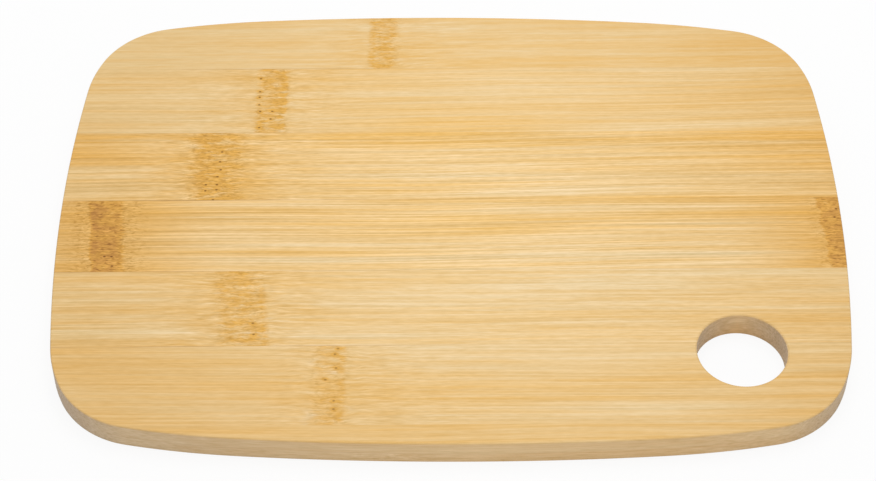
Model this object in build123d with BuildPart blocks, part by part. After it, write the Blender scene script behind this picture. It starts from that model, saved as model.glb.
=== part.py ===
from build123d import *
from math import cos, radians, sin
import os

# A laminated bamboo chopping board: two plies, each of staves glued edge to edge,
# sawn to a bowed outline with one hanging hole near the front right corner.
# The frame is +X along the grain, +Y to the back and +Z up, in millimetres,
# with the origin under the middle of the board, on the surface it lies on.

# Outline, measured across the middle of the board
board_length = 280.0
board_depth = 207.0

# A quarter of the outline turns through 90 degrees in five arcs, each tangent to the
# next: half of the end's bow, a shoulder, the corner, a longer shoulder and half of
# the side's bow. The shoulders let the corner tighten gently and ease off again. The
# radii of the two bows follow from the board's size.
end_bow_turn = 6.0
end_shoulder_radius = 52.0
end_shoulder_turn = 19.0
corner_radius = 32.0
side_shoulder_radius = 300.0
side_shoulder_turn = 7.0
side_bow_turn = 3.8

# Thickness, ply by ply
lower_ply = 4.8
upper_ply = 5.2

# Every rim is eased by hand sanding
arris_radius = 0.6

# Hanging hole, placed from the right end and from the front edge
hole_diameter = 31.0
hole_from_end = 41.0
hole_from_front = 40.0

# Staves: the grain is slightly askew to the outline, and the rear stave of each
# ply is what the saw left of it, so the seams of the two plies are staggered
stave_width = 34.0
upper_rear_stave = 28.7
lower_rear_stave = 8.3
narrowest_stave = 5.0
grain_angle = 0.55

# The glued panels are oversize all round before the board is sawn out
sawing_allowance = 12.0

half_length = board_length / 2
half_depth = board_depth / 2
board_thickness = lower_ply + upper_ply
hole_x = half_length - hole_from_end
hole_y = hole_from_front - half_depth


def unit_arc(heading, turn):
    """How far in and how far on an arc of radius 1 goes, from a heading in degrees."""
    begin, finish = radians(heading), radians(heading + turn)
    return cos(begin) - cos(finish), sin(finish) - sin(begin)


# Headings are measured from the direction in which the outline leaves the end's tip.
# The corner takes what the other arcs leave of the quarter turn, and the bows' radii
# are what brings the last arc to the middle of the side.
corner_heading = end_bow_turn + end_shoulder_turn
side_heading = 90.0 - side_bow_turn
corner_turn = side_heading - side_shoulder_turn - corner_heading
middle_arcs = [
    (end_shoulder_radius, end_shoulder_turn),
    (corner_radius, corner_turn),
    (side_shoulder_radius, side_shoulder_turn),
]
rest_in, rest_on = half_length, half_depth
heading = end_bow_turn
for radius, turn in middle_arcs:
    step_in, step_on = unit_arc(heading, turn)
    rest_in -= radius * step_in
    rest_on -= radius * step_on
    heading += turn
end_in, end_on = unit_arc(0.0, end_bow_turn)
side_in, side_on = unit_arc(side_heading, side_bow_turn)
share = end_in * side_on - end_on * side_in
end_bow_radius = (rest_in * side_on - rest_on * side_in) / share
side_bow_radius = (rest_on * end_in - rest_in * end_on) / share
quarter_arcs = [
    (end_bow_radius, end_bow_turn),
    *middle_arcs,
    (side_bow_radius, side_bow_turn),
]


def stave_edges(rear_stave):
    """Distances of a panel's seams from the board's middle, from back to front."""
    edges = [half_depth + sawing_allowance]
    seam = half_depth - rear_stave
    while seam > narrowest_stave - half_depth:
        edges.append(seam)
        seam -= stave_width
    edges.append(-half_depth - sawing_allowance)
    return edges


# The finished board as one body: every stave is a slice of it, so the bowed edges,
# the eased rims and the hole run on across the seams without a step
with BuildPart() as shaped_board:
    with BuildSketch() as outline:
        with BuildLine():
            place, direction = (half_length, 0), (0, 1)
            for radius, turn in quarter_arcs:
                arc = JernArc(place, direction, radius, turn)
                place, direction = arc @ 1, arc % 1
            mirror(about=Plane.XZ)
            mirror(about=Plane.YZ)
        make_face()
    extrude(amount=board_thickness)
    with Locations((hole_x, hole_y, board_thickness)):
        Hole(hole_diameter / 2)
    rims = shaped_board.faces().filter_by(Axis.Z).edges()
    fillet(rims, arris_radius)

os.makedirs("parts", exist_ok=True)

plies = {
    "lower": (0.0, lower_ply, lower_rear_stave),
    "upper": (lower_ply, upper_ply, upper_rear_stave),
}

for ply, (underside, thickness, rear_stave) in plies.items():
    edges = stave_edges(rear_stave)
    panel = Plane.XY.offset(underside).rotated((0, 0, grain_angle))
    for number, (rear, front) in enumerate(zip(edges, edges[1:]), start=1):
        with BuildPart() as stave:
            with BuildSketch(panel):
                with Locations((0, (rear + front) / 2)):
                    Rectangle(board_length + 2 * sawing_allowance, rear - front)
            extrude(amount=thickness)
            add(shaped_board.part, mode=Mode.INTERSECT)
        name = f"{ply}_stave_{number}"
        stave.part.label = name
        export_step(stave.part, f"parts/{name}.step")
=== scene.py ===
# %% [markdown]
# A laminated bamboo chopping board, dressed around its CAD frame.
# The real board is two plies of bamboo staves, glued edge to edge, pressed together, sawn to a
# bowed outline, drilled for hanging and sanded. The frame has every stave at its true size.
# This lesson shapes a finer mesh of each stave and gives every one its own bamboo.
# All sizes are in metres, in the frame's own axes: X along the grain, Y to the back, Z up.

import math

import bmesh
import bpy
from mathutils import Matrix, Vector


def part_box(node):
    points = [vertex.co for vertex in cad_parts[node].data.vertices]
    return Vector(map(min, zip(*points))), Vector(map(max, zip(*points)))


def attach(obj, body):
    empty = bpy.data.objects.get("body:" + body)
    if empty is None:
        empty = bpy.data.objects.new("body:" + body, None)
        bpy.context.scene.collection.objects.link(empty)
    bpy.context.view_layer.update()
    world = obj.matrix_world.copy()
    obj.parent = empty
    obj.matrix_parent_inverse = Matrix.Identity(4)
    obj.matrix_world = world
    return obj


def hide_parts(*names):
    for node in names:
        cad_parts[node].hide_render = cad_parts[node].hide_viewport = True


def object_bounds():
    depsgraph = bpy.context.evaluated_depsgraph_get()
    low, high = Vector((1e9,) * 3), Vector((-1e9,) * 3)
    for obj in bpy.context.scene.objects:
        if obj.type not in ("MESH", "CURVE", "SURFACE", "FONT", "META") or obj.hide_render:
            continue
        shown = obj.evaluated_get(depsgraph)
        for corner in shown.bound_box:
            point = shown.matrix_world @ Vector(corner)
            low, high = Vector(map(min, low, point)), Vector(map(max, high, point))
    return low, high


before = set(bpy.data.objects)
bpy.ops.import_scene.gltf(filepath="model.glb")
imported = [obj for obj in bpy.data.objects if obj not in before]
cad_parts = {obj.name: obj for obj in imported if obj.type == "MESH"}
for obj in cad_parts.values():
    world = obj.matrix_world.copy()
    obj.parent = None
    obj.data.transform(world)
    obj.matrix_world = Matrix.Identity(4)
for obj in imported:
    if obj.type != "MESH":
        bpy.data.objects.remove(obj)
cad_low, cad_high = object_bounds()
print("CAD nodes:", len(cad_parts), "box:", [round(x, 5) for x in cad_high - cad_low])

# %% [markdown]
# The overall sizes come from the frame. What a box can't tell is repeated here as named values:
# the eased rims, the hole, and how the plies were glued up.

# %% Sizes of the board
MM = 0.001
half_length = cad_high.x
half_depth = cad_high.y
board_top = cad_high.z
ply_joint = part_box("upper_stave_1")[0].z

arris_radius = 0.6 * MM
hole_radius = 15.5 * MM
hole_from_right = 41.0 * MM
hole_from_front = 40.0 * MM
hole_centre = Vector((half_length - hole_from_right, hole_from_front - half_depth, 0))
hole_reach = hole_radius + arris_radius

stave_width = 34.0 * MM
upper_rear_stave = 28.7 * MM
lower_rear_stave = 8.3 * MM
staves_per_ply = 7
grain_angle = math.radians(0.55)
print("board", round(2 * half_length / MM, 1), "x", round(2 * half_depth / MM, 1), "mm")

# %% [markdown]
# A quarter of the outline turns through five arcs, each tangent to the next: half of the end's
# bow, a shoulder, the corner, a longer shoulder and half of the side's bow. The shoulders let
# the corner tighten gently and ease off again, as a hand-sanded one does. An arc is a radius and
# a turn. The radii of the bows follow from the board's size: two sums, one inwards and one
# onwards, have to come out at half the length and half the depth.

# %% Turns and radii of the outline
end_bow_turn = math.radians(6.0)
side_bow_turn = math.radians(3.8)
end_shoulder = (52.0 * MM, math.radians(19.0))
side_shoulder = (300.0 * MM, math.radians(7.0))
corner_radius = 32.0 * MM


def unit_arc(heading, turn):
    """How far in and how far on an arc of radius 1 goes, from a heading off the end's tip."""
    finish = heading + turn
    return Vector((math.cos(heading) - math.cos(finish), math.sin(finish) - math.sin(heading)))


corner_heading = end_bow_turn + end_shoulder[1]
side_heading = math.pi / 2 - side_bow_turn
corner_turn = side_heading - side_shoulder[1] - corner_heading
middle_arcs = [end_shoulder, (corner_radius, corner_turn), side_shoulder]
rest = Vector((half_length, half_depth))
heading = end_bow_turn
for radius, turn in middle_arcs:
    rest -= radius * unit_arc(heading, turn)
    heading += turn
end_step = unit_arc(0, end_bow_turn)
side_step = unit_arc(side_heading, side_bow_turn)
bow_radii = Matrix((end_step, side_step)).transposed().inverted() @ rest
quarter_arcs = [(bow_radii[0], end_bow_turn), *middle_arcs, (bow_radii[1], side_bow_turn)]
print("radii, mm:", [round(radius / MM, 1) for radius, turn in quarter_arcs])

# %% [markdown]
# One vertex starts at the tip of the right end and is spun about each arc's centre in turn. Two
# mirrors give the rest of the outline. Spinning keeps every point on its true arc, so no list of
# coordinates is needed.

# %% Draw the outline
arc_step = 1.4 * MM
least_arc_steps = 4
touching = 0.001 * MM


def last_vert(made):
    """The vertex at the far end of what was spun."""
    return [item for item in made["geom_last"] if isinstance(item, bmesh.types.BMVert)][0]


board = bmesh.new()
tip = board.verts.new((half_length, 0, 0))
heading = 0.0
for radius, turn in quarter_arcs:
    inward = Vector((-math.cos(heading), -math.sin(heading), 0))
    steps = max(least_arc_steps, round(radius * turn / arc_step))
    spun = bmesh.ops.spin(board, geom=[tip], cent=tip.co + inward * radius, axis=(0, 0, 1),
                          angle=turn, steps=steps, use_merge=False)
    tip = last_vert(spun)
    heading += turn
for axis in "XY":
    bmesh.ops.mirror(board, geom=board.verts[:] + board.edges[:], matrix=Matrix.Identity(4),
                     merge_dist=touching, axis=axis)
bmesh.ops.remove_doubles(board, verts=board.verts, dist=touching)
print("outline points:", len(board.verts))

# %% [markdown]
# A board blank is that outline given thickness. The real rims are eased with sandpaper, so both
# get a small round bevel while the faces are still whole: a bevel needs room beside its edge.

# %% Shape the blank
rim_segments = 5
bmesh.ops.edgeloop_fill(board, edges=board.edges)
raised = bmesh.ops.extrude_face_region(board, geom=board.faces[:])["geom"]
raised_verts = [item for item in raised if isinstance(item, bmesh.types.BMVert)]
bmesh.ops.translate(board, verts=raised_verts, vec=(0, 0, board_top))
bmesh.ops.recalc_face_normals(board, faces=board.faces)
rims = [edge for edge in board.edges if abs(edge.verts[0].co.z - edge.verts[1].co.z) < touching]
bmesh.ops.bevel(board, geom=rims, offset=arris_radius, offset_type="OFFSET", affect="EDGES",
                segments=rim_segments, profile=0.5, material=-1)
print("blank faces:", len(board.faces))

# %% [markdown]
# The staves of a ply are told apart by their limits across the grain, which runs half a degree
# askew to the outline. Between the first and the last limit, which are well off the board, they
# are the ply's seams.

# %% Limits of the staves
along_grain = Vector((math.cos(grain_angle), math.sin(grain_angle), 0))
across_grain = Vector((-along_grain.y, along_grain.x, 0))
off_the_board = 2 * half_depth


def stave_limits(rear_stave):
    """How far each limit of a ply lies from the middle, from back to front."""
    seams = [half_depth - rear_stave - stave_width * i for i in range(staves_per_ply - 1)]
    return [off_the_board, *seams, -off_the_board]


ply_limits = {"upper": stave_limits(upper_rear_stave), "lower": stave_limits(lower_rear_stave)}
for ply, limits in ply_limits.items():
    print(ply, "seams, mm:", [round(limit / MM, 1) for limit in limits[1:-1]])

# %% [markdown]
# Each stave is a slice of the blank between its two limits and the two faces of its ply, so
# neighbours share their seam exactly, as glued and sanded wood does. After each cut the open side
# is closed with one face.

# %% Cut a stave from the blank
upward = Vector((0, 0, 1))
saw_tolerance = 1e-7


def saw(mesh, point, keep_side):
    """Cut a mesh by a plane, keep the side that the normal points to and close the cut."""
    geometry = mesh.verts[:] + mesh.edges[:] + mesh.faces[:]
    bmesh.ops.bisect_plane(mesh, geom=geometry, dist=saw_tolerance, plane_co=point,
                           plane_no=keep_side, clear_inner=True)
    open_edges = [edge for edge in mesh.edges if edge.is_boundary]
    bmesh.ops.holes_fill(mesh, edges=open_edges, sides=0)


def slice_stave(ply, rear, front):
    """The part of the blank between two limits of a ply, as a closed mesh."""
    piece = board.copy()
    saw(piece, upward * ply_joint, upward if ply == "upper" else -upward)
    saw(piece, across_grain * rear, -across_grain)
    saw(piece, across_grain * front, across_grain)
    bmesh.ops.recalc_face_normals(piece, faces=piece.faces)
    return piece


# %% [markdown]
# The hanging hole is made with a cutter of the hole's own shape: a straight pin that flares at
# both ends, as the eased rims do. Its profile is one vertex pushed and spun along, and a full
# turn about the hole's axis closes it.

# %% Make the hole's cutter
cutter_turn_steps = 128
cutter_overshoot = 2.0 * MM
flare_steps = 5


def push(mesh, vert, offset):
    """Extrude one vertex by an offset, and give the new one."""
    made = bmesh.ops.extrude_vert_indiv(mesh, verts=[vert])["verts"][0]
    bmesh.ops.translate(mesh, verts=[made], vec=offset)
    return made


def flare(mesh, vert, centre):
    """A quarter turn of the cutter's profile about a point of the X-Z plane."""
    spun = bmesh.ops.spin(mesh, geom=[vert], cent=centre, axis=(0, 1, 0), angle=math.pi / 2,
                          steps=flare_steps, use_merge=False)
    return last_vert(spun)


cutter_mesh = bmesh.new()
wall_height = board_top - 2 * arris_radius
profile_tip = cutter_mesh.verts.new((hole_reach, 0, -cutter_overshoot))
profile_tip = push(cutter_mesh, profile_tip, (0, 0, cutter_overshoot))
profile_tip = flare(cutter_mesh, profile_tip, (hole_reach, 0, arris_radius))
profile_tip = push(cutter_mesh, profile_tip, (0, 0, wall_height))
profile_tip = flare(cutter_mesh, profile_tip, (hole_reach, 0, board_top - arris_radius))
push(cutter_mesh, profile_tip, (0, 0, cutter_overshoot))
bmesh.ops.spin(cutter_mesh, geom=cutter_mesh.verts[:] + cutter_mesh.edges[:], cent=(0, 0, 0),
               axis=(0, 0, 1), angle=2 * math.pi, steps=cutter_turn_steps, use_merge=True)
open_rings = [edge for edge in cutter_mesh.edges if edge.is_boundary]
bmesh.ops.holes_fill(cutter_mesh, edges=open_rings, sides=0)
bmesh.ops.translate(cutter_mesh, verts=cutter_mesh.verts, vec=hole_centre)
bmesh.ops.recalc_face_normals(cutter_mesh, faces=cutter_mesh.faces)
cutter = bpy.data.objects.new("hole_cutter", bpy.data.meshes.new("hole_cutter"))
cutter_mesh.to_mesh(cutter.data)
cutter_mesh.free()
bpy.context.scene.collection.objects.link(cutter)
print("cutter faces:", len(cutter.data.polygons))

# %% [markdown]
# Only the staves that the hole touches are cut. A Boolean modifier takes the cutter away, and its
# result is kept as plain mesh data, so the cutter can go once every stave is made.

# %% Drill a stave
def touches_hole(rear, front):
    """Whether a stave between two limits reaches the hole."""
    middle = hole_centre.dot(across_grain)
    return front < middle + hole_reach and rear > middle - hole_reach


def drill(piece):
    """Cut the hole out of a piece, leaving plain mesh data and no modifier."""
    cut = piece.modifiers.new("hole", "BOOLEAN")
    cut.operation = "DIFFERENCE"
    cut.solver = "EXACT"
    cut.object = cutter
    bpy.context.view_layer.update()
    evaluated = piece.evaluated_get(bpy.context.evaluated_depsgraph_get())
    drilled = bpy.data.meshes.new_from_object(evaluated)
    piece.modifiers.clear()
    piece.data = drilled


# %% [markdown]
# The materials have to know the sanded faces from the sawn edge, so two small attributes go with
# each mesh. One, sawn, is 0 on the faces and 1 on the edge. It changes softly over the upper rim
# and within a tenth of a millimetre at the lower one, so the lower rim keeps the edge's darker
# colour: painted shade where the board meets the floor. The other, end_grain, is 1 where the edge
# cuts straight across the fibres and 0 where it runs along them. The edge is shaded smooth. Faces
# that look straight up, straight down or at a neighbour are shaded flat.

# %% Mark the sawn edge
lower_fade = 0.1 * MM
looks_up = 0.9999
looks_at_neighbour = 0.99999


def mark_sawn_edge(mesh):
    """Write the two attributes, and shade the edge smooth and the faces flat."""
    sawn = mesh.attributes.new("sawn", "FLOAT", "POINT")
    for vert, value in zip(mesh.vertices, sawn.data):
        from_top = (board_top - vert.co.z) / arris_radius
        # Painted shade: the lower rim keeps the edge's darker colour almost down to the floor.
        from_bottom = vert.co.z / lower_fade
        value.value = min(1.0, max(0.0, min(from_top, from_bottom)))
    end_grain = mesh.attributes.new("end_grain", "FLOAT", "POINT")
    for face in mesh.polygons:
        seam_face = abs(face.normal.dot(across_grain)) > looks_at_neighbour
        face.use_smooth = abs(face.normal.z) < looks_up and not seam_face
        across_fibres = abs(face.normal.dot(along_grain))
        for index in face.vertices:
            end_grain.data[index].value = max(end_grain.data[index].value, across_fibres)


# %% [markdown]
# Now the pieces themselves. Every stave is sliced, drilled if need be, and marked. Its CAD node
# is hidden, and it rides on the board's one body. Weighted normals keep the sawn wall plain
# between the rims.

# %% Build the staves
def finished_stave(ply, number):
    """A finished stave object that hides its CAD node and rides on the board's body."""
    rear, front = ply_limits[ply][number - 1:number + 1]
    sliced = slice_stave(ply, rear, front)
    mesh = bpy.data.meshes.new(f"{ply}_{number}")
    sliced.to_mesh(mesh)
    sliced.free()
    piece = bpy.data.objects.new(f"finished_{ply}_stave_{number}", mesh)
    bpy.context.scene.collection.objects.link(piece)
    if touches_hole(rear, front):
        drill(piece)
    mark_sawn_edge(piece.data)
    weighted = piece.modifiers.new("even shading", "WEIGHTED_NORMAL")
    weighted.keep_sharp = True
    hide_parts(f"{ply}_stave_{number}")
    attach(piece, "root")
    return piece


staves = {}
for ply in ply_limits:
    for number in range(1, staves_per_ply + 1):
        staves[ply, number] = finished_stave(ply, number)
bpy.data.objects.remove(cutter)
board.free()
print("staves:", len(staves), "faces:", sum(len(s.data.polygons) for s in staves.values()))

# %% [markdown]
# The materials are node trees, built with a few small helpers. Every helper takes the tree that
# it adds to, and its other inputs are either plain values or other nodes' outputs.

# %% Helpers for values
def feed(tree, socket, value):
    """Link a socket to an output, or set its plain value."""
    if isinstance(value, bpy.types.NodeSocket):
        tree.links.new(value, socket)
    else:
        socket.default_value = value


def calc(tree, operation, *values, clamp=False):
    """A Math node's result."""
    node = tree.nodes.new("ShaderNodeMath")
    node.operation = operation
    node.use_clamp = clamp
    for socket, value in zip(node.inputs, values):
        feed(tree, socket, value)
    return node.outputs[0]


def vector_calc(tree, operation, *values):
    """A Vector Math node's vector result."""
    node = tree.nodes.new("ShaderNodeVectorMath")
    node.operation = operation
    for socket, value in zip(node.inputs, values):
        feed(tree, socket, value)
    return node.outputs["Vector"]


def split(tree, vector):
    """The X, Y and Z of a vector."""
    node = tree.nodes.new("ShaderNodeSeparateXYZ")
    feed(tree, node.inputs[0], vector)
    return node.outputs


def combine(tree, x, y, z):
    """A vector from three values."""
    node = tree.nodes.new("ShaderNodeCombineXYZ")
    for socket, value in zip(node.inputs, (x, y, z)):
        feed(tree, socket, value)
    return node.outputs[0]


def fade(tree, value, start, end, low=0.0, high=1.0):
    """A smooth step from low at start to high at end."""
    node = tree.nodes.new("ShaderNodeMapRange")
    node.interpolation_type = "SMOOTHSTEP"
    for label, setting in (("Value", value), ("From Min", start), ("From Max", end),
                           ("To Min", low), ("To Max", high)):
        feed(tree, node.inputs[label], setting)
    return node.outputs["Result"]


# %% [markdown]
# Noise is the raw stuff of every pattern here, stretched by scaling the place that it reads.
# Colours are mixed with Mix nodes. Such a node has sockets of the same name for each kind of data,
# so those for colour go by their place in its list.

# %% Helpers for noise and colour
mix_first = 6
mix_second = 7
mix_result = 2
green_deepening = 0.2


def cloud(tree, vector, stretch, detail=2.0, roughness=0.5):
    """Noise that is stretched differently along each axis, about 0.5 on average."""
    node = tree.nodes.new("ShaderNodeTexNoise")
    feed(tree, node.inputs["Vector"], vector_calc(tree, "MULTIPLY", vector, stretch))
    node.inputs["Scale"].default_value = 1.0
    node.inputs["Detail"].default_value = detail
    node.inputs["Roughness"].default_value = roughness
    return node.outputs["Fac"]


def swing(tree, vector, stretch, reach, detail=1.0):
    """Noise about zero, with about this reach to either side."""
    noise = cloud(tree, vector, stretch, detail, roughness=0.6)
    return calc(tree, "MULTIPLY_ADD", noise, 4 * reach, -2 * reach)


def blend_colour(tree, factor, first, second, mode="MIX"):
    """Two colours mixed by a factor."""
    node = tree.nodes.new("ShaderNodeMix")
    node.data_type = "RGBA"
    node.blend_type = mode
    feed(tree, node.inputs["Factor"], factor)
    feed(tree, node.inputs[mix_first], first)
    feed(tree, node.inputs[mix_second], second)
    return node.outputs[mix_result]


def shaded(tree, colour, shade, deepening=1.0):
    """A colour made lighter or darker. What darkens bamboo also deepens it: blue goes first. With
    a deepening below 0 blue goes last, as in the shade of a blue sky."""
    green = calc(tree, "POWER", shade, 1 + green_deepening * deepening)
    blue = calc(tree, "POWER", shade, 1 + deepening)
    return vector_calc(tree, "MULTIPLY", colour, combine(tree, shade, green, blue))


def paint(red, green, blue):
    """A colour as it looks on a screen, from 0 to 255, as the linear values that shaders use.
    The curve between the two is that of sRGB."""
    linear = []
    for channel in (red, green, blue):
        share = channel / 255
        linear.append(share / 12.92 if share <= 0.04045 else ((share + 0.055) / 1.055) ** 2.4)
    return (*linear, 1.0)


# %% [markdown]
# What all the staves share, such as fibres or glue, is a node group: it is built once, and each
# material places it with values of its own.

# %% Helpers for groups
VALUE = "NodeSocketFloat"
VECTOR = "NodeSocketVector"
COLOUR = "NodeSocketColor"
ORIGIN = (0.0, 0.0, 0.0)


def new_group(name, inputs, outputs):
    """A shader node group, its input values and the sockets that take its results."""
    tree = bpy.data.node_groups.new(name, "ShaderNodeTree")
    for label, default in inputs.items():
        kind = VECTOR if isinstance(default, tuple) else VALUE
        tree.interface.new_socket(label, in_out="INPUT", socket_type=kind).default_value = default
    for label, kind in outputs.items():
        tree.interface.new_socket(label, in_out="OUTPUT", socket_type=kind)
    entry = tree.nodes.new("NodeGroupInput")
    result = tree.nodes.new("NodeGroupOutput")
    return tree, entry.outputs, result.inputs


def place_group(tree, group, **inputs):
    """Put a group into a tree: half_width=5 sets its socket Half Width, and so on."""
    node = tree.nodes.new("ShaderNodeGroup")
    node.node_tree = group
    for label, value in inputs.items():
        feed(tree, node.inputs[label.replace("_", " ").title()], value)
    return node.outputs


# %% [markdown]
# Bamboo is straight bundles of fibre in a paler ground. Cut along the grain the bundles are
# streaks of every width, and cut across they are dots. Noise that is stretched a hundred times
# along the grain gives both, because it fills space: the edge of a stave shows what lies under
# its face. The pattern works in millimetres along, across and down. Where the grain is unrestful,
# near a knuckle, the long layers grow weaker and the short ones stronger.

# %% Group for the fibres
seed_step = (17.3, 31.7, 11.9)
sway_reach = 1.5


def share_of_length(tree, along):
    """0 at the left end of the board and 1 at the right end, from millimetres along the grain."""
    return calc(tree, "MULTIPLY_ADD", along, 0.5 * MM / half_length, 0.5)


def make_fibre_group():
    """The tone, shade, fibre ends and relief of plain bamboo."""
    inputs = {"Grain": ORIGIN, "Seed": 0.0, "Unrest": 0.0, "Drift": 0.0}
    outputs = {"Tone": VALUE, "Shade": VALUE, "Bundles": VALUE, "Relief": VALUE}
    tree, entry, result = new_group("bamboo fibres", inputs, outputs)
    shift = vector_calc(tree, "SCALE", seed_step)
    feed(tree, shift.node.inputs["Scale"], entry["Seed"])
    place = vector_calc(tree, "ADD", entry["Grain"], shift)

    # The grain sways a little, and drifts to the back on its way to the right.
    wander = cloud(tree, place, (0.009, 0.02, 0.02), detail=0.0)
    sway = calc(tree, "MULTIPLY_ADD", wander, 2 * sway_reach, -sway_reach)
    travelled = share_of_length(tree, split(tree, entry["Grain"])[0])
    drift = calc(tree, "MULTIPLY", calc(tree, "POWER", travelled, 2.0), entry["Drift"])
    aside = combine(tree, 0.0, calc(tree, "SUBTRACT", sway, drift), 0.0)
    place = vector_calc(tree, "ADD", place, aside)

    # Layers of noise from broad to fine, each with its weight.
    calm = calc(tree, "MULTIPLY_ADD", entry["Unrest"], -0.6, 1.0)
    busy = calc(tree, "MULTIPLY_ADD", entry["Unrest"], 1.0, 0.5)
    lively = calc(tree, "MULTIPLY_ADD", entry["Unrest"], 1.2, 1.0)
    layers = {
        "broad": (cloud(tree, place, (0.007, 0.050, 0.10), detail=1.0), 1.0),
        "bands": (cloud(tree, place, (0.007, 0.26, 0.26), detail=2.0, roughness=0.6), calm),
        "ribbons": (cloud(tree, place, (0.010, 0.75, 0.75), detail=1.0), calm),
        "lines": (cloud(tree, place, (0.012, 1.70, 1.70), detail=1.0, roughness=0.6), calm),
        "streaks": (cloud(tree, place, (0.075, 0.95, 0.95), detail=2.0, roughness=0.6), busy),
        "flecks": (cloud(tree, place, (0.24, 2.1, 2.1), detail=1.0, roughness=0.6), lively),
    }
    tone_shares = {"broad": 0.8, "bands": 0.95, "ribbons": 0.4, "lines": 0.12, "streaks": 0.6,
                   "flecks": 0.05}
    shade_shares = {"lines": -0.33, "streaks": -0.17, "flecks": -0.20}
    relief_shares = {"ribbons": -0.4, "lines": -0.8, "streaks": -0.5, "flecks": -0.3}

    def blend_layers(shares, middle):
        """The layers added up by their shares, about a middle value."""
        total = middle
        for label, share in shares.items():
            noise, weight = layers[label]
            weighted_noise = calc(tree, "MULTIPLY", calc(tree, "SUBTRACT", noise, 0.5), weight)
            total = calc(tree, "MULTIPLY_ADD", weighted_noise, share, total)
        return total

    feed(tree, result["Tone"], blend_layers(tone_shares, 0.5))
    feed(tree, result["Shade"], blend_layers(shade_shares, 1.0))
    feed(tree, result["Relief"], blend_layers(relief_shares, 0.5))

    # Cells as long as the bundles: a cut across them shows dots.
    cells = tree.nodes.new("ShaderNodeTexVoronoi")
    stretched = vector_calc(tree, "MULTIPLY", place, (0.012, 0.85, 0.85))
    feed(tree, cells.inputs["Vector"], stretched)
    cells.inputs["Scale"].default_value = 1.0
    feed(tree, result["Bundles"], fade(tree, cells.outputs["Distance"], 0.42, 0.20))
    return tree


fibre_group = make_fibre_group()
print("group:", fibre_group.name, "nodes:", len(fibre_group.nodes))

# %% [markdown]
# A knuckle is where the culm had a joint. The fibres swerve round it, amber and brown blotches
# lie in a column across the stave, fine dashes cross it, and here and there the wood is bleached.
# One border of the column is often sharp and the other ragged, so each has its own fade. A halo
# of amber may reach beyond it, in streaks or evenly. The group bends the grain that it passes on,
# so it comes before the fibres.

# %% Group for a knuckle
swerve_reach = 16.0
bleach_reach = 7.0
ridge_strength = 0.35


def inside(tree, place, past, softness):
    """1 inside a border and 0 past it, over a ragged fade of this softness."""
    jag = swing(tree, place, (0.06, 0.8, 0.4), 0.5, detail=2.0)
    jag = calc(tree, "MULTIPLY", jag, calc(tree, "ADD", softness, 1.0))
    ragged = calc(tree, "ADD", past, jag)
    return fade(tree, ragged, softness, calc(tree, "MULTIPLY", softness, -1.0))


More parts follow.
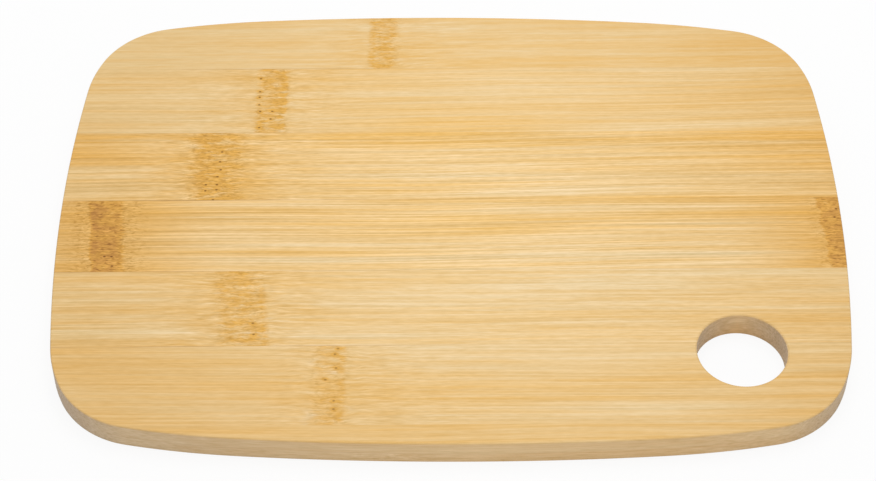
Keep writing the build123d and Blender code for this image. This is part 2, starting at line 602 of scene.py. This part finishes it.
def make_knuckle_group():
    """The marks of one knuckle, how near it is, and the grain that it bends."""
    inputs = {"Grain": ORIGIN, "Seed": 0.0, "Centre": 0.0, "Half Width": 6.0, "Lean": 0.0,
              "Left Fade": 1.5, "Right Fade": 1.5, "Solid": 0.0, "Ridge": 0.0, "Amber": 0.7,
              "Brown": 0.0, "Bleach": 0.5, "Halo": 0.4, "Halo Reach": 24.0, "Even Halo": 0.0,
              "Dash Reach": 4.0, "Unrest Left": 30.0, "Unrest Right": 30.0}
    outputs = {"Grain": VECTOR, "Near": VALUE, "Amber": VALUE, "Brown": VALUE, "Shade": VALUE,
               "Bleach": VALUE}
    tree, entry, result = new_group("bamboo knuckle", inputs, outputs)
    along, across, down = split(tree, entry["Grain"])
    shift = combine(tree, entry["Seed"], calc(tree, "MULTIPLY", entry["Seed"], 3.7), 0.0)
    place = vector_calc(tree, "ADD", entry["Grain"], shift)

    # How far past each border of the column a place lies.
    centre = calc(tree, "ADD", swing(tree, place, (0.0, 0.12, 0.0), 0.7), entry["Centre"])
    centre = calc(tree, "MULTIPLY_ADD", across, entry["Lean"], centre)
    from_centre = calc(tree, "SUBTRACT", along, centre)
    past_right = calc(tree, "SUBTRACT", from_centre, entry["Half Width"])
    to_the_left = calc(tree, "MULTIPLY", from_centre, -1.0)
    past_left = calc(tree, "SUBTRACT", to_the_left, entry["Half Width"])
    past_border = calc(tree, "MAXIMUM", past_left, past_right)
    near = calc(tree, "MULTIPLY", fade(tree, past_left, entry["Unrest Left"], -2.0),
                fade(tree, past_right, entry["Unrest Right"], -2.0))
    feed(tree, result["Near"], near)

    # The swerve of the grain.
    ripple = calc(tree, "ADD", swing(tree, place, (0.22, 0.42, 0.3), 0.40),
                  swing(tree, place, (0.07, 0.16, 0.2), 0.8))
    close_by = calc(tree, "MULTIPLY", near, fade(tree, past_border, swerve_reach, -2.0))
    bent = calc(tree, "MULTIPLY_ADD", ripple, close_by, across)
    feed(tree, result["Grain"], combine(tree, along, bent, down))

    # The column of clots between its borders, densest on its ridge.
    wave = combine(tree, 0.0, swing(tree, place, (0.40, 0.5, 0.5), 0.35), 0.0)
    rippled = vector_calc(tree, "ADD", place, wave)
    clots = swing(tree, rippled, (0.14, 0.55, 0.5), 1.0, detail=2.0)
    clots = calc(tree, "ADD", clots, calc(tree, "MULTIPLY", entry["Solid"], 0.9))
    column = calc(tree, "MULTIPLY", inside(tree, place, past_left, entry["Left Fade"]),
                  inside(tree, place, past_right, entry["Right Fade"]))
    column = calc(tree, "MULTIPLY", column, fade(tree, clots, -0.65, 0.5))
    from_ridge = calc(tree, "ABSOLUTE", calc(tree, "SUBTRACT", from_centre, entry["Ridge"]))
    ridge = calc(tree, "MULTIPLY", fade(tree, from_ridge, 1.8, 0.5), fade(tree, clots, -0.6, 0.2))
    column = calc(tree, "MULTIPLY_ADD", ridge, ridge_strength, column)

    # Amber for the column and its halo, brown for the column alone.
    streaks = fade(tree, cloud(tree, rippled, (0.03, 0.35, 0.3)), 0.35, 0.65,
                   entry["Even Halo"], 1.0)
    halo = calc(tree, "MULTIPLY", fade(tree, past_border, entry["Halo Reach"], -1.0), streaks)
    stained = calc(tree, "MULTIPLY_ADD", halo, entry["Halo"], column)
    feed(tree, result["Amber"], calc(tree, "MULTIPLY", stained, entry["Amber"]))
    blotches = fade(tree, cloud(tree, place, (0.16, 0.24, 0.2), 1.0), 0.34, 0.62, 0.3, 0.9)
    browned = calc(tree, "MULTIPLY", calc(tree, "MULTIPLY", column, blotches), entry["Brown"])
    feed(tree, result["Brown"], browned)

    # Fine dashes, which darken what they cross.
    fine = fade(tree, cloud(tree, rippled, (0.50, 1.7, 1.6), 2.0, 0.6), 0.38, 0.60, -0.05, 0.06)
    dashes = fade(tree, cloud(tree, rippled, (0.48, 1.35, 1.3), 1.0), 0.53, 0.66, 0.0, 0.17)
    depth = calc(tree, "MULTIPLY", calc(tree, "ADD", fine, dashes),
                 calc(tree, "ADD", entry["Amber"], entry["Brown"]))
    depth = calc(tree, "MULTIPLY", depth, fade(tree, past_border, entry["Dash Reach"], -1.0))
    feed(tree, result["Shade"], calc(tree, "SUBTRACT", 1.0, depth))

    # Bleached lenses.
    lenses = fade(tree, cloud(tree, rippled, (0.10, 0.33, 0.3), 1.0), 0.58, 0.74)
    lenses = calc(tree, "MULTIPLY", lenses, fade(tree, past_border, bleach_reach, -1.0))
    feed(tree, result["Bleach"], calc(tree, "MULTIPLY", lenses, entry["Bleach"]))
    return tree


knuckle_group = make_knuckle_group()
print("group:", knuckle_group.name, "nodes:", len(knuckle_group.nodes))

# %% [markdown]
# The pits of a knuckle are few and each is seen, so they are placed one by one. This group is a
# soft dark dot at a point along and across the grain, a third longer along it than across, with a
# faint stain round it. It takes what earlier pits drew and passes on the stronger of the two.

# %% Group for a pit
pit_narrowing = 0.75
stain_strength = 0.5


def make_pit_group():
    """One pit and its stain, joined with those before it."""
    inputs = {"Grain": ORIGIN, "Along": 0.0, "Across": 0.0, "Radius": 0.36, "Depth": 0.8,
              "Pits Before": 0.0, "Stains Before": 0.0}
    outputs = {"Pit": VALUE, "Stain": VALUE}
    tree, entry, result = new_group("knuckle pit", inputs, outputs)
    along, across = split(tree, entry["Grain"])[:2]
    side = calc(tree, "MULTIPLY", calc(tree, "SUBTRACT", along, entry["Along"]), pit_narrowing)
    rise = calc(tree, "SUBTRACT", across, entry["Across"])
    squares = calc(tree, "ADD", calc(tree, "MULTIPLY", side, side),
                   calc(tree, "MULTIPLY", rise, rise))
    reach = calc(tree, "DIVIDE", calc(tree, "SQRT", squares), entry["Radius"])
    pit = fade(tree, reach, 1.5, 0.4, 0.0, entry["Depth"])
    stain = fade(tree, reach, 4.0, 1.2, 0.0, stain_strength)
    feed(tree, result["Pit"], calc(tree, "MAXIMUM", entry["Pits Before"], pit))
    feed(tree, result["Stain"], calc(tree, "MAXIMUM", entry["Stains Before"], stain))
    return tree


pit_group = make_pit_group()
print("group:", pit_group.name, "nodes:", len(pit_group.nodes))

# %% [markdown]
# Glue shows as a fine brown line along each seam and between the plies, patchy where the joint
# was tight, and faint towards the right. Some seams hardly show, so each has its own strength.
# On the sawn edge the seams all but vanish, and the joint between the plies is faint. Each stave
# draws its own half of the line.

# %% Group for the glue lines
joint_strength = 0.3


def make_glue_group():
    """How much glue shows, from 0 to 1."""
    inputs = {"Grain": ORIGIN, "Rear": 0.0, "Front": 0.0, "Rear Glue": 0.5, "Front Glue": 0.5,
              "Joint": 5.0, "Seed": 0.0, "Sawn": 0.0}
    outputs = {"Glue": VALUE}
    tree, entry, result = new_group("glue line", inputs, outputs)
    along, across, down = split(tree, entry["Grain"])
    rear = calc(tree, "ABSOLUTE", calc(tree, "SUBTRACT", across, entry["Rear"]))
    front = calc(tree, "ABSOLUTE", calc(tree, "SUBTRACT", across, entry["Front"]))
    joint = calc(tree, "ABSOLUTE", calc(tree, "SUBTRACT", down, entry["Joint"]))
    place = combine(tree, along, entry["Seed"], entry["Rear"])
    patches = fade(tree, cloud(tree, place, (0.03, 1.0, 1.0), detail=3.0), 0.38, 0.62, 0.1, 1.0)
    patches = calc(tree, "MULTIPLY", patches, fade(tree, along, -70.0, 20.0, 1.0, 0.4))
    rear_line = fade(tree, rear, 0.22, 0.06, 0.0, entry["Rear Glue"])
    front_line = fade(tree, front, 0.22, 0.06, 0.0, entry["Front Glue"])
    on_face = calc(tree, "MULTIPLY_ADD", entry["Sawn"], -0.8, 1.0)
    seam = calc(tree, "MULTIPLY", calc(tree, "MAXIMUM", rear_line, front_line), on_face)
    between_plies = fade(tree, joint, 0.28, 0.08, 0.0, joint_strength)
    line = calc(tree, "MAXIMUM", seam, between_plies)
    feed(tree, result["Glue"], calc(tree, "MULTIPLY", line, patches))
    return tree


glue_group = make_glue_group()
print("group:", glue_group.name, "nodes:", len(glue_group.nodes))

# %% [markdown]
# A sanded face runs from a pale to a deep yellow with the tone of its fibres. The knuckles' marks
# are laid over that, and dashes darken it. Painted shade then deepens and darkens the whole face
# from a point near the middle of the board towards its rim, fully at the ends and about half as
# much at the sides: it stands for the light falling off away from the middle.

# %% Group for the sanded face
PALE = paint(238, 218, 178)
DEEP = paint(233, 185, 99)
BLEACHED = paint(239, 221, 191)
AMBER = paint(227, 175, 80)
BROWN = paint(196, 141, 67)
# Painted shade: the light's fall-off from the middle of the board, multiplied into the face.
FALLOFF_SHADE = paint(241, 232, 212)
falloff_from = 8.0
falloff_to_end = 140.0
falloff_to_side = 160.0
falloff_power = 0.8
dash_deepening = 1.5


def painted_falloff(tree, grain):
    """Painted shade of the light's fall-off: 0 near the middle, about 1 at the ends."""
    along, across = split(tree, grain)[:2]
    end_reach = calc(tree, "DIVIDE", calc(tree, "SUBTRACT", along, falloff_from), falloff_to_end)
    side_reach = calc(tree, "DIVIDE", across, falloff_to_side)
    from_middle = calc(tree, "MULTIPLY", side_reach, side_reach)
    from_middle = calc(tree, "MULTIPLY_ADD", end_reach, end_reach, from_middle)
    return calc(tree, "POWER", from_middle, falloff_power)


def make_face_group():
    """The colour of bamboo on a sanded face."""
    inputs = {"Grain": ORIGIN, "Tone": 0.5, "Shade": 1.0, "Bleach": 0.0, "Amber": 0.0,
              "Brown": 0.0, "Stain": 0.0, "Dashes": 1.0}
    tree, entry, result = new_group("sanded face", inputs, {"Colour": COLOUR})
    face = blend_colour(tree, entry["Tone"], PALE, DEEP)
    face = blend_colour(tree, entry["Bleach"], face, BLEACHED)
    ambered = calc(tree, "MINIMUM", calc(tree, "ADD", entry["Amber"], entry["Stain"]), 1.0)
    face = blend_colour(tree, ambered, face, AMBER)
    face = blend_colour(tree, calc(tree, "MINIMUM", entry["Brown"], 1.0), face, BROWN)
    face = shaded(tree, face, entry["Shade"])
    face = shaded(tree, face, entry["Dashes"], dash_deepening)
    # Painted shade of the light's fall-off towards the rim.
    face = blend_colour(tree, painted_falloff(tree, entry["Grain"]), face, FALLOFF_SHADE, mode="MULTIPLY")
    feed(tree, result["Colour"], face)
    return tree


face_group = make_face_group()
print("group:", face_group.name, "nodes:", len(face_group.nodes))

# %% [markdown]
# The edge is duller than the face, because the saw left it rougher. Where it cuts across the
# fibres it is greyer, and dotted with their ends. Painted shade makes it a little darker to the
# left, as if less light reached that side.

# %% Group for the sawn edge
SIDE_PALE = paint(242, 213, 165)
SIDE_DARK = paint(230, 191, 135)
END_PALE = paint(208, 186, 157)
END_DARK = paint(191, 166, 134)
FIBRE_END = paint(150, 122, 93)
fibre_end_strength = 0.4
# Painted shade: the edge darkens towards the left end.
edge_shade_from = 40.0
edge_shade_to = -130.0
edge_shade_darkest = 0.885
edge_shade_deepening = -0.7


def make_edge_group():
    """The colour of bamboo on the sawn edge."""
    inputs = {"Grain": ORIGIN, "Tone": 0.5, "Shade": 1.0, "Bundles": 0.0, "End Grain": 0.0}
    tree, entry, result = new_group("sawn edge", inputs, {"Colour": COLOUR})
    side = blend_colour(tree, entry["Tone"], SIDE_PALE, SIDE_DARK)
    end = blend_colour(tree, entry["Tone"], END_PALE, END_DARK)
    dots = calc(tree, "MULTIPLY", entry["Bundles"], fibre_end_strength)
    end = blend_colour(tree, dots, end, FIBRE_END)
    edge = blend_colour(tree, entry["End Grain"], side, end)
    edge = shaded(tree, edge, entry["Shade"])
    along = split(tree, entry["Grain"])[0]
    # Painted shade, darker towards the left end.
    painted_edge_shade = fade(tree, along, edge_shade_from, edge_shade_to, 1.0, edge_shade_darkest)
    feed(tree, result["Colour"], shaded(tree, edge, painted_edge_shade, edge_shade_deepening))
    return tree


edge_group = make_edge_group()
print("group:", edge_group.name, "nodes:", len(edge_group.nodes))

# %% [markdown]
# The groups need to know where they are. The grain's own place comes from Object coordinates,
# turned by the grain's angle. The knuckles of a stave pass the grain on from one to the next, and
# where their marks overlap the strongest one shows.

# %% Helpers for a stave
def grain_place(tree):
    """Object coordinates turned into millimetres along, across and down the grain."""
    coordinates = tree.nodes.new("ShaderNodeTexCoord")
    turned = tree.nodes.new("ShaderNodeMapping")
    turned.inputs["Rotation"].default_value = (0, 0, -grain_angle)
    turned.inputs["Scale"].default_value = (1 / MM, 1 / MM, 1 / MM)
    tree.links.new(coordinates.outputs["Object"], turned.inputs["Vector"])
    return turned.outputs["Vector"]


def mesh_value(tree, name):
    """A value that was written on the mesh."""
    node = tree.nodes.new("ShaderNodeAttribute")
    node.attribute_name = name
    return node.outputs["Fac"]


def meet_knuckles(tree, grain, knuckles, seed):
    """The grain as bent by every knuckle in turn, and their marks joined."""
    marks = {"Near": 0.0, "Amber": 0.0, "Brown": 0.0, "Bleach": 0.0, "Shade": 1.0}
    for i, knuckle in enumerate(knuckles):
        made = place_group(tree, knuckle_group, grain=grain, seed=seed * 5 + i * 13, **knuckle)
        grain = made["Grain"]
        for label, before in marks.items():
            joining = "MULTIPLY" if label == "Shade" else "MAXIMUM"
            marks[label] = calc(tree, joining, made[label], before)
    return grain, marks


def dot_pits(tree, grain, pits, depth):
    """All pits of a stave, and their stains."""
    pit = stain = 0.0
    for along, across in pits:
        dot = place_group(tree, pit_group, grain=grain, along=along, across=across, depth=depth,
                          pits_before=pit, stains_before=stain)
        pit, stain = dot["Pit"], dot["Stain"]
    return pit, stain


# %% [markdown]
# One function dresses a stave. It bends the grain at the knuckles, draws fibres on it, colours
# the face and the edge, and lays the glue and the pits over them. Sanded bamboo has a soft sheen
# and a faint relief of fibres. The sawn edge and the pits are duller. What differs from stave to
# stave is a short list of values.

# %% Bamboo finish
PIT = paint(104, 58, 16)
GLUE = paint(170, 122, 64)
sanded_roughness = 0.62
crest_polish = -0.2
sawn_dulling = 0.15
pit_dulling = 0.4
pit_sinking = -0.5
sheen = 0.35
relief_strength = 0.25
relief_depth = 0.1 * MM


def bamboo(name, rear, front, seed, warmth, glue=(0.5, 0.5), contrast=1.0, richness=1.0,
           restless=0.0, drift=0.0, knuckles=(), pits=(), pit_depth=0.8):
    """A stave's material. Its warmth is how much deeper than the rest it is at the left and at
    the right end, and glue is how much of it shows at the rear and the front limit. Contrast is
    how strongly its grain is shaded, richness how strongly it is coloured, restless how much the
    grain breaks up away from the knuckles, and drift how far it has wandered to the back at the
    right end, in millimetres. Each knuckle is a set of named values for its group, and each pit
    is (along, across) in millimetres, all of one depth."""
    material = bpy.data.materials.new(name)
    material.use_nodes = True
    tree = material.node_tree
    straight = grain_place(tree)
    sawn = mesh_value(tree, "sawn")
    end_grain = mesh_value(tree, "end_grain")
    grain, marks = meet_knuckles(tree, straight, knuckles, seed)
    unrest = calc(tree, "ADD", marks["Near"], restless)
    fibres = place_group(tree, fibre_group, grain=grain, seed=seed, unrest=unrest, drift=drift)
    pit, stain = dot_pits(tree, straight, pits, pit_depth)
    glued = place_group(tree, glue_group, grain=straight, rear=rear / MM, front=front / MM,
                        rear_glue=glue[0], front_glue=glue[1], joint=ply_joint / MM, seed=seed,
                        sawn=sawn)["Glue"]

    travelled = share_of_length(tree, split(tree, straight)[0])
    warmed = calc(tree, "MULTIPLY_ADD", travelled, warmth[1] - warmth[0], warmth[0])
    middle_tone = calc(tree, "ADD", warmed, 0.5)
    from_middle = calc(tree, "SUBTRACT", fibres["Tone"], 0.5)
    tone = calc(tree, "MULTIPLY_ADD", from_middle, richness, middle_tone, clamp=True)
    from_even = calc(tree, "SUBTRACT", fibres["Shade"], 1.0)
    shade = calc(tree, "MULTIPLY_ADD", from_even, contrast, 1.0)

    face = place_group(tree, face_group, grain=straight, tone=tone, shade=shade,
                       bleach=marks["Bleach"], amber=marks["Amber"], brown=marks["Brown"],
                       stain=stain, dashes=marks["Shade"])["Colour"]
    edge = place_group(tree, edge_group, grain=straight, tone=tone, shade=shade,
                       bundles=fibres["Bundles"], end_grain=end_grain)["Colour"]
    colour = blend_colour(tree, sawn, face, edge)
    colour = blend_colour(tree, glued, colour, GLUE)
    colour = blend_colour(tree, pit, colour, PIT)

    rough = calc(tree, "MULTIPLY_ADD", fibres["Relief"], crest_polish, sanded_roughness)
    rough = calc(tree, "MULTIPLY_ADD", sawn, sawn_dulling, rough)
    rough = calc(tree, "MULTIPLY_ADD", pit, pit_dulling, rough)
    bump = tree.nodes.new("ShaderNodeBump")
    bump.inputs["Strength"].default_value = relief_strength
    bump.inputs["Distance"].default_value = relief_depth
    height = calc(tree, "MULTIPLY_ADD", pit, pit_sinking, fibres["Relief"])
    tree.links.new(height, bump.inputs["Height"])

    shader = tree.nodes["Principled BSDF"]
    tree.links.new(colour, shader.inputs["Base Color"])
    tree.links.new(rough, shader.inputs["Roughness"])
    tree.links.new(bump.outputs["Normal"], shader.inputs["Normal"])
    shader.inputs["Specular IOR Level"].default_value = sheen
    return material


def dress(ply, number, **looks):
    """Give a stave its own bamboo."""
    rear, front = ply_limits[ply][number - 1:number + 1]
    finish = bamboo(f"{ply} bamboo {number}", rear, front, **looks)
    staves[ply, number].data.materials.append(finish)


# %% [markdown]
# The knuckles of the upper ply are where the culms had them, and their pits with them, in
# millimetres along and across the grain from the middle of the board.

# %% Knuckles of the upper ply
upper_knuckles = {
    1: [dict(centre=-25.2, half_width=4.5, left_fade=2, right_fade=2, amber=0.82, ridge=-4.5,
             unrest_right=40)],
    2: [dict(centre=-67.8, half_width=5.3, lean=0.02, left_fade=1.8, amber=0.85, ridge=4.2,
             bleach=0.3, unrest_left=42, unrest_right=42)],
    3: [dict(centre=-86, half_width=7, left_fade=4, right_fade=6, amber=1.0, brown=0.1, halo=0.7,
             dash_reach=8, unrest_right=40)],
    4: [dict(centre=-123.8, half_width=5.3, lean=-0.09, left_fade=0.8, right_fade=2, amber=0.85,
             brown=0.75, solid=0.6, ridge=-4, bleach=0, halo=0.85, halo_reach=40, even_halo=0.75,
             dash_reach=14, unrest_left=14, unrest_right=14),
        dict(centre=144.5, half_width=12, lean=-0.06, left_fade=1, amber=0.85, brown=0.6,
             solid=0.6, bleach=0, halo=0.9, halo_reach=40, even_halo=0.6, dash_reach=7,
             unrest_left=8)],
    5: [dict(centre=-77.5, half_width=7.5, lean=-0.1, left_fade=4, amber=0.75, ridge=7.5)],
    6: [dict(centre=-42, half_width=5, left_fade=3, right_fade=1.2, amber=0.58, ridge=4,
             unrest_left=22, unrest_right=55)],
    7: [],
}
upper_pits = {
    1: [],
    2: [(-71.5, 69.5), (-71.5, 62.5), (-71.5, 59.5), (-71.5, 55.5), (-71, 52), (-71, 43.5),
        (-66.5, 52), (-67, 48)],
    3: [(-84, 31), (-84.5, 26), (-84, 22), (-85, 18.5), (-85, 14.5), (-89, 14.5), (-85, 12),
        (-89, 11.5), (-86, 7)],
    4: [(-120, -20), (-119.5, -24.5), (-122.5, -20), (138.5, 1), (137.5, -3)],
    5: [(-69, -51), (-68.5, -56)],
    6: [(-39.5, -62.5), (-40.5, -65), (-40, -71), (-43.5, -76), (-40.5, -85), (-40.5, -88.5)],
    7: [],
}
print("pits:", sum(len(pits) for pits in upper_pits.values()))

# %% [markdown]
# No two staves come from the same culm, so each has its own tone, contrast and run of the grain.
# The glue's strengths go with the limits from back to front, and the outer two have none.

# %% Dress the upper ply
upper_looks = {
    1: dict(seed=3.1, warmth=(-0.12, 0.22), contrast=0.45, richness=1.1, restless=0.25, drift=4.5),
    2: dict(seed=6.2, warmth=(-0.04, 0.06), contrast=0.95, drift=4.0, pit_depth=0.75),
    3: dict(seed=10.4, warmth=(0.18, 0.21), contrast=1.75, richness=1.15, restless=-0.08,
            drift=3.0),
    4: dict(seed=12.4, warmth=(0.04, 0.04), contrast=1.9, richness=1.1, restless=-0.22, drift=1.5,
            pit_depth=0.85),
    5: dict(seed=15.5, warmth=(0.12, -0.05), contrast=1.05, richness=1.15, restless=0.1,
            pit_depth=0.6),
    6: dict(seed=18.6, warmth=(0.0, 0.13), contrast=0.9, pit_depth=0.5),
    7: dict(seed=21.7, warmth=(0.0, 0.14), contrast=0.8, richness=0.95),
}
limit_glue = [0.0, 0.5, 0.35, 1.0, 0.6, 0.6, 0.1, 0.0]
for number, looks in upper_looks.items():
    dress("upper", number, glue=limit_glue[number - 1:number + 1],
          knuckles=upper_knuckles[number], pits=upper_pits[number], **looks)
print("upper staves dressed:", len(upper_looks))

# %% [markdown]
# The lower ply is hidden but for its edge, which is browner to the right. Its knuckles fall where
# they may.

# %% Dress the lower ply
lower_knuckles = {
    1: [],
    2: [dict(centre=48, half_width=6, amber=0.8, solid=0.3, ridge=4)],
    3: [dict(centre=-15, half_width=6, amber=0.7, ridge=4)],
    4: [dict(centre=92, half_width=6, amber=0.8, brown=0.3, solid=0.6)],
    5: [dict(centre=-101, half_width=7, amber=0.8, ridge=5)],
    6: [dict(centre=22, half_width=6, amber=0.7)],
    7: [dict(centre=-20.5, half_width=3, amber=0.8, brown=0.4, solid=0.6)],
}
lower_first_seed = 40
lower_seed_step = 2.7
for number, knuckles in lower_knuckles.items():
    dress("lower", number, seed=lower_first_seed + number * lower_seed_step, warmth=(0.06, 0.33),
          knuckles=knuckles)
print("lower staves dressed:", len(lower_knuckles))

# %% [markdown]
# The board lies on a plain white floor. The floor is seen a little brighter than it is lit, so
# that it reads as white paper and still keeps the board's soft shadow.

# %% Floor and backdrop
floor_size = 6.0
paper_white = 0.88
paper_roughness = 0.9
paper_glow = 0.9


def seen_as_backdrop(tree):
    """1 for what the camera sees, straight or in a reflection or through glass, else 0."""
    rays = tree.nodes.new("ShaderNodeLightPath").outputs
    mirrored = calc(tree, "MAXIMUM", rays["Is Glossy Ray"], rays["Is Transmission Ray"])
    return calc(tree, "MAXIMUM", rays["Is Camera Ray"], mirrored)


def white_paper():
    """White paper that glows a little where the camera sees it."""
    material = bpy.data.materials.new("white paper")
    material.use_nodes = True
    tree = material.node_tree
    shader = tree.nodes["Principled BSDF"]
    shader.inputs["Base Color"].default_value = (paper_white, paper_white, paper_white, 1)
    shader.inputs["Roughness"].default_value = paper_roughness
    shader.inputs["Specular IOR Level"].default_value = 0.0
    glow = tree.nodes.new("ShaderNodeEmission")
    mixed = tree.nodes.new("ShaderNodeMixShader")
    glowing = calc(tree, "MULTIPLY", seen_as_backdrop(tree), paper_glow)
    for socket, value in zip(mixed.inputs, (glowing, shader.outputs[0], glow.outputs[0])):
        tree.links.new(value, socket)
    tree.links.new(mixed.outputs[0], tree.nodes["Material Output"].inputs["Surface"])
    return material


floor_mesh = bmesh.new()
bmesh.ops.create_grid(floor_mesh, x_segments=1, y_segments=1, size=floor_size / 2)
floor = bpy.data.objects.new("floor", bpy.data.meshes.new("floor"))
floor_mesh.to_mesh(floor.data)
floor_mesh.free()
bpy.context.scene.collection.objects.link(floor)
floor.data.materials.append(white_paper())
print("floor:", floor_size, "m square")

# %% [markdown]
# Light comes from a white sky all round, which lifts the sawn edge, and from one large soft lamp
# above the back of the board. The sky is seen at full white, but lights the board less than that.

# %% Light
sky_strength = 0.635
lamp_place = Vector((0.07, 0.20, 0.88))
lamp_target = Vector((0.01, 0.02, 0.0))
lamp_size = 0.6
lamp_power = 3.66

world = bpy.data.worlds.new("white studio")
bpy.context.scene.world = world
world.use_nodes = True
background = world.node_tree.nodes["Background"]
background.inputs["Color"].default_value = (1, 1, 1, 1)
seen = seen_as_backdrop(world.node_tree)
feed(world.node_tree, background.inputs["Strength"],
     fade(world.node_tree, seen, 0.0, 1.0, sky_strength, 1.0))

lamp = bpy.data.lights.new("soft lamp", "AREA")
lamp.shape = "SQUARE"
lamp.size = lamp_size
lamp.energy = lamp_power
lamp_holder = bpy.data.objects.new("soft lamp", lamp)
lamp_holder.location = lamp_place
lamp_holder.rotation_euler = (lamp_target - lamp_place).to_track_quat("-Z", "Y").to_euler()
bpy.context.scene.collection.objects.link(lamp_holder)
print("lamp:", lamp_power, "W, sky:", sky_strength)

# %% [markdown]
# The camera stands where the photograph was taken from. Its place was worked out from the
# outline, the hole and the thickness of the board as they lie in the picture. The lens looks at a
# point a little right of the picture's middle, so the picture is shifted.

# %% Camera
photo_width = 876
focal_pixels = 2310.0
axis_pixels_right = 50.0
camera_elevation = math.radians(48.00)
camera_yaw = math.radians(-1.70)
camera_roll = math.radians(1.35)
camera_distance = 0.8338
aim = Vector((0.0130, -0.0043, 0.0))

camera_data = bpy.data.cameras.new("camera")
camera_data.sensor_width = 36.0
camera_data.lens = focal_pixels / photo_width * camera_data.sensor_width
camera_data.shift_x = -axis_pixels_right / photo_width
camera_data.clip_start = 0.05
camera_data.clip_end = 20.0
camera = bpy.data.objects.new("camera", camera_data)
bpy.context.scene.collection.objects.link(camera)
back = Vector((math.sin(camera_yaw) * math.cos(camera_elevation),
               -math.cos(camera_yaw) * math.cos(camera_elevation), math.sin(camera_elevation)))
level_right = Vector((math.cos(camera_yaw), math.sin(camera_yaw), 0))
level_up = back.cross(level_right)
right = math.cos(camera_roll) * level_right + math.sin(camera_roll) * level_up
up = -math.sin(camera_roll) * level_right + math.cos(camera_roll) * level_up
facing = Matrix((right, up, back)).transposed().to_4x4()
camera.matrix_world = Matrix.Translation(aim + back * camera_distance) @ facing
bpy.context.scene.camera = camera
bpy.context.scene.view_settings.view_transform = "Standard"
print("lens:", round(camera_data.lens, 2), "mm")
